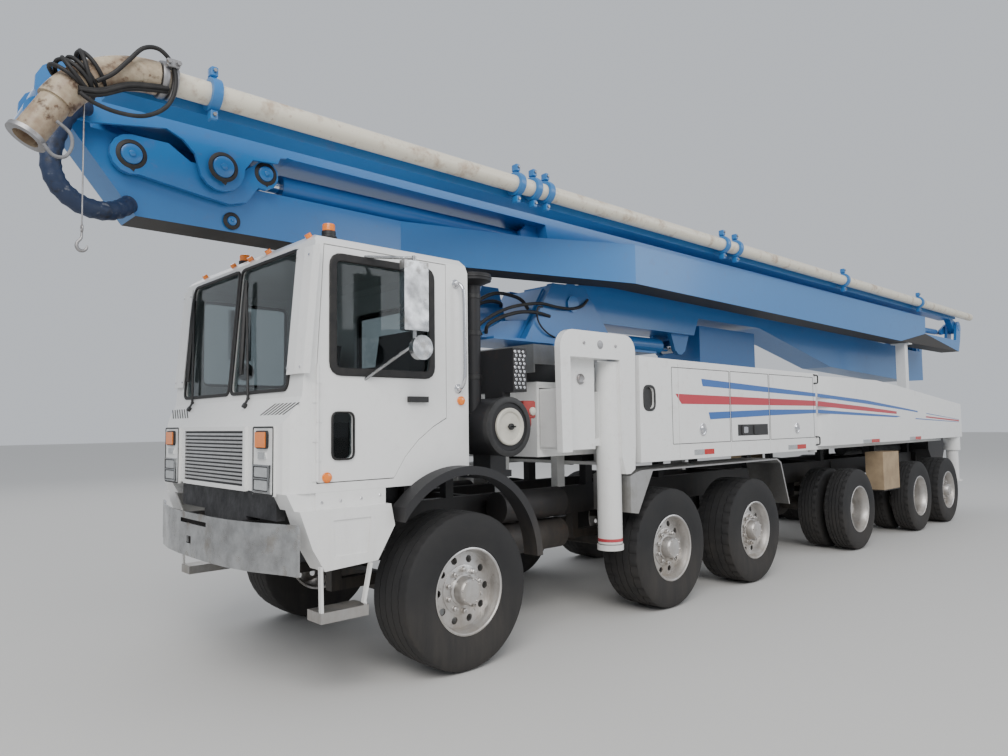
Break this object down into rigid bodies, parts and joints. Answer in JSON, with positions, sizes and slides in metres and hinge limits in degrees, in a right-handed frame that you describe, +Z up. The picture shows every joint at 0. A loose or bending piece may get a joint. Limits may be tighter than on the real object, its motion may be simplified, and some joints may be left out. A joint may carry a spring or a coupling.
{
  "type": "concrete pump truck",
  "caption": "Cab-over truck that carries a folding four-section concrete placing boom, outriggers and a rear hopper.",
  "frame": {"origin": "on the ground under the middle of the overall length, in the centre plane", "axes": "+X to the truck's front, +Y to its left, +Z up"},
  "size_m": [15.5186, 2.73, 3.845],
  "materials": {
    "cab_white": "worn gloss paint",
    "boom_blue": "worn gloss paint",
    "pipe_cream": "worn paint",
    "frame_dark": "satin paint",
    "engine_grey": "cast",
    "bright_metal": "polished",
    "rod_chrome": "polished",
    "black_plastic": "matte",
    "cab_glass": "clear",
    "tyre_rubber": "road tyre",
    "timber": "sawn",
    "seat_fabric": "woven",
    "gear_black": "matte paint"
  },
  "bodies": {
    "truck": {"chassis_frame": "frame_dark", "axles": "frame_dark", "engine": "engine_grey", "front_bumper": "bright_metal", "cab_shell": "cab_white", "cab_interior": "seat_fabric", "cab_front": "black_plastic", "cab_glass": "cab_glass", "cab_steps": "cab_white", "side_gear": "gear_black", "front_outrigger_box": "cab_white", "deck_cabinets": "cab_white", "fenders": "bright_metal", "turret_pedestal": "engine_grey", "oil_tank": "boom_blue", "hopper": "frame_dark", "pump_unit": "engine_grey", "boom_rest": "cab_white", "cribbing": "timber", "hopper_grate": "frame_dark"},
    "door_left": {"door_left": "cab_white"},
    "door_right": {"door_right": "cab_white"},
    "knuckle_left": {"knuckle_left": "frame_dark"},
    "knuckle_right": {"knuckle_right": "frame_dark"},
    "front_outrigger_left": {"front_outrigger_left": "cab_white"},
    "front_outrigger_right": {"front_outrigger_right": "cab_white"},
    "front_leg_left": {"front_leg_left": "cab_white"},
    "front_leg_right": {"front_leg_right": "cab_white"},
    "rear_outrigger_left": {"rear_outrigger_left": "cab_white"},
    "rear_outrigger_right": {"rear_outrigger_right": "cab_white"},
    "rear_leg_left": {"rear_leg_left": "cab_white"},
    "rear_leg_right": {"rear_leg_right": "cab_white"},
    "turret": {"turret": "boom_blue"},
    "boom_1": {"boom_1": "boom_blue"},
    "boom_2": {"boom_2": "boom_blue", "knee_3_barrel": "boom_blue"},
    "boom_3": {"boom_3": "boom_blue", "pipe_3": "pipe_cream"},
    "boom_4": {"boom_4": "boom_blue", "pipe_4": "pipe_cream"},
    "lift_barrel": {"lift_barrel": "boom_blue"},
    "lift_rod": {"lift_rod": "rod_chrome"},
    "knee_2_barrel": {"knee_2_barrel": "boom_blue"},
    "knee_2_rod": {"knee_2_rod": "rod_chrome"},
    "knee_3_rod": {"knee_3_rod": "rod_chrome"},
    "knee_3_link": {"knee_3_link": "boom_blue"},
    "knee_4_barrel": {"knee_4_barrel": "boom_blue"},
    "knee_4_rod": {"knee_4_rod": "rod_chrome"},
    "wheel_1_left": {"wheel_1_left": "tyre_rubber"},
    "wheel_1_right": {"wheel_1_right": "tyre_rubber"},
    "wheel_2_left": {"wheel_2_left": "tyre_rubber"},
    "wheel_2_right": {"wheel_2_right": "tyre_rubber"},
    "wheel_3_left": {"wheel_3_left": "tyre_rubber"},
    "wheel_3_right": {"wheel_3_right": "tyre_rubber"},
    "wheel_4_left": {"wheel_4_left": "tyre_rubber"},
    "wheel_4_right": {"wheel_4_right": "tyre_rubber"},
    "wheel_5_left": {"wheel_5_left": "tyre_rubber"},
    "wheel_5_right": {"wheel_5_right": "tyre_rubber"},
    "wheel_6_left": {"wheel_6_left": "tyre_rubber"},
    "wheel_6_right": {"wheel_6_right": "tyre_rubber"}
  },
  "joints": [
    {"name": "slew", "type": "hinge", "parent": "truck", "child": "turret", "pos_m": [2.69068, 0, 2.36], "axis": [0, 0, 1], "range_deg": [-185, 185]},
    {"name": "boom_1_raise", "type": "hinge", "parent": "turret", "child": "boom_1", "pos_m": [2.94068, 0, 2.87], "axis": [0, 1, 0], "range_deg": [0, 90]},
    {"name": "boom_2_unfold", "type": "hinge", "parent": "boom_1", "child": "boom_2", "pos_m": [-7.30932, 0, 3.05], "axis": [0, -1, 0], "range_deg": [0, 180]},
    {"name": "boom_3_unfold", "type": "hinge", "parent": "boom_2", "child": "boom_3", "pos_m": [7.37068, 0.12, 3.68], "axis": [0, -1, 0], "range_deg": [0, 180]},
    {"name": "boom_4_unfold", "type": "hinge", "parent": "boom_3", "child": "boom_4", "pos_m": [-7.40932, 0.8, 3.4], "axis": [0, -1, 0], "range_deg": [0, 180]},
    {"name": "lift_barrel_swing", "type": "hinge", "parent": "turret", "child": "lift_barrel", "pos_m": [2.59068, 0, 2.59], "axis": [0, 1, 0], "range_deg": [0, 92]},
    {"name": "lift_rod_slide", "type": "slide", "parent": "lift_barrel", "child": "lift_rod", "axis": [-1, 0, 0.0056], "range_m": [0, 0.64]},
    {"name": "knee_2_barrel_swing", "type": "hinge", "parent": "boom_1", "child": "knee_2_barrel", "pos_m": [-3.25932, -0.36, 2.79], "axis": [0, -1, 0], "range_deg": [0, 2.5]},
    {"name": "knee_2_rod_slide", "type": "slide", "parent": "knee_2_barrel", "child": "knee_2_rod", "axis": [-0.9964, 0, 0.0848], "range_m": [0, 0.58]},
    {"name": "knee_3_rod_slide", "type": "slide", "parent": "boom_2", "child": "knee_3_rod", "axis": [1, 0, 0], "range_m": [0, 0.48]},
    {"name": "knee_3_link_swing", "type": "hinge", "parent": "boom_3", "child": "knee_3_link", "pos_m": [7.00068, 0.12, 3.4], "axis": [0, 1, 0], "range_deg": [0, 73]},
    {"name": "knee_4_barrel_swing", "type": "hinge", "parent": "boom_3", "child": "knee_4_barrel", "pos_m": [-5.71932, 0.622, 3.29], "axis": [0, 1, 0], "range_deg": [0, 4.5]},
    {"name": "knee_4_rod_slide", "type": "slide", "parent": "knee_4_barrel", "child": "knee_4_rod", "axis": [-0.9998, 0, 0.0213], "range_m": [0, 0.58]},
    {"name": "steer_left", "type": "hinge", "parent": "truck", "child": "knuckle_left", "pos_m": [5.04068, 0.76, 0.545], "axis": [0, 0, 1], "range_deg": [-35, 35]},
    {"name": "steer_right", "type": "hinge", "parent": "truck", "child": "knuckle_right", "pos_m": [5.04068, -0.76, 0.545], "axis": [0, 0, 1], "range_deg": [-35, 35]},
    {"name": "wheel_1_left_spin", "type": "hinge", "parent": "knuckle_left", "child": "wheel_1_left", "pos_m": [5.04068, 1.03, 0.545], "axis": [0, 1, 0], "continuous": true},
    {"name": "wheel_1_right_spin", "type": "hinge", "parent": "knuckle_right", "child": "wheel_1_right", "pos_m": [5.04068, -1.03, 0.545], "axis": [0, 1, 0], "continuous": true},
    {"name": "wheel_2_left_spin", "type": "hinge", "parent": "truck", "child": "wheel_2_left", "pos_m": [2.61068, 1.03, 0.545], "axis": [0, 1, 0], "continuous": true},
    {"name": "wheel_2_right_spin", "type": "hinge", "parent": "truck", "child": "wheel_2_right", "pos_m": [2.61068, -1.03, 0.545], "axis": [0, 1, 0], "continuous": true},
    {"name": "wheel_3_left_spin", "type": "hinge", "parent": "truck", "child": "wheel_3_left", "pos_m": [1.09068, 1.03, 0.545], "axis": [0, 1, 0], "continuous": true},
    {"name": "wheel_3_right_spin", "type": "hinge", "parent": "truck", "child": "wheel_3_right", "pos_m": [1.09068, -1.03, 0.545], "axis": [0, 1, 0], "continuous": true},
    {"name": "wheel_4_left_spin", "type": "hinge", "parent": "truck", "child": "wheel_4_left", "pos_m": [-1.63932, 1.03, 0.525], "axis": [0, 1, 0], "continuous": true},
    {"name": "wheel_4_right_spin", "type": "hinge", "parent": "truck", "child": "wheel_4_right", "pos_m": [-1.63932, -1.03, 0.525], "axis": [0, 1, 0], "continuous": true},
    {"name": "wheel_5_left_spin", "type": "hinge", "parent": "truck", "child": "wheel_5_left", "pos_m": [-3.91932, 1.03, 0.525], "axis": [0, 1, 0], "continuous": true},
    {"name": "wheel_5_right_spin", "type": "hinge", "parent": "truck", "child": "wheel_5_right", "pos_m": [-3.91932, -1.03, 0.525], "axis": [0, 1, 0], "continuous": true},
    {"name": "wheel_6_left_spin", "type": "hinge", "parent": "truck", "child": "wheel_6_left", "pos_m": [-5.24932, 1.03, 0.525], "axis": [0, 1, 0], "continuous": true},
    {"name": "wheel_6_right_spin", "type": "hinge", "parent": "truck", "child": "wheel_6_right", "pos_m": [-5.24932, -1.03, 0.525], "axis": [0, 1, 0], "continuous": true},
    {"name": "door_left_open", "type": "hinge", "parent": "truck", "child": "door_left", "pos_m": [6.13568, 1.0895, 1.5], "axis": [0, 0, -1], "range_deg": [0, 70]},
    {"name": "front_outrigger_left_extend", "type": "slide", "parent": "truck", "child": "front_outrigger_left", "axis": [0, 1, 0], "range_m": [0, 1.5]},
    {"name": "front_leg_left_lower", "type": "slide", "parent": "front_outrigger_left", "child": "front_leg_left", "axis": [0, 0, -1], "range_m": [0, 0.75]},
    {"name": "rear_outrigger_left_swing", "type": "hinge", "parent": "truck", "child": "rear_outrigger_left", "pos_m": [-0.61932, 1.08, 1.8], "axis": [0, 0, -1], "range_deg": [0, 80]},
    {"name": "rear_leg_left_lower", "type": "slide", "parent": "rear_outrigger_left", "child": "rear_leg_left", "axis": [0, 0, -1], "range_m": [0, 0.6]},
    {"name": "door_right_open", "type": "hinge", "parent": "truck", "child": "door_right", "pos_m": [6.13568, -1.0895, 1.5], "axis": [0, 0, 1], "range_deg": [0, 70]},
    {"name": "front_outrigger_right_extend", "type": "slide", "parent": "truck", "child": "front_outrigger_right", "axis": [0, -1, 0], "range_m": [0, 1.5]},
    {"name": "front_leg_right_lower", "type": "slide", "parent": "front_outrigger_right", "child": "front_leg_right", "axis": [0, 0, -1], "range_m": [0, 0.75]},
    {"name": "rear_outrigger_right_swing", "type": "hinge", "parent": "truck", "child": "rear_outrigger_right", "pos_m": [-0.61932, -1.08, 1.8], "axis": [0, 0, 1], "range_deg": [0, 80]},
    {"name": "rear_leg_right_lower", "type": "slide", "parent": "rear_outrigger_right", "child": "rear_leg_right", "axis": [0, 0, -1], "range_m": [0, 0.6]}
  ],
  "couplings": [
    {"joint": "boom_2_unfold", "follows": "boom_1_raise", "ratio": 2},
    {"joint": "boom_3_unfold", "follows": "boom_1_raise", "ratio": 0.66667},
    {"joint": "lift_barrel_swing", "follows": "boom_1_raise", "ratio": 1.0174},
    {"joint": "lift_rod_slide", "follows": "boom_1_raise", "m_per_rad": 0.40189},
    {"joint": "knee_2_barrel_swing", "follows": "boom_1_raise", "ratio": 0.024734},
    {"joint": "knee_2_rod_slide", "follows": "boom_1_raise", "m_per_rad": 0.36352},
    {"joint": "knee_3_rod_slide", "follows": "boom_1_raise", "m_per_rad": 0.29329},
    {"joint": "knee_3_link_swing", "follows": "boom_1_raise", "ratio": 0.80234},
    {"joint": "knee_4_barrel_swing", "follows": "boom_4_unfold", "ratio": 0.023834},
    {"joint": "knee_4_rod_slide", "follows": "boom_4_unfold", "m_per_rad": 0.18106},
    {"joint": "steer_right", "follows": "steer_left", "ratio": 1}
  ]
}
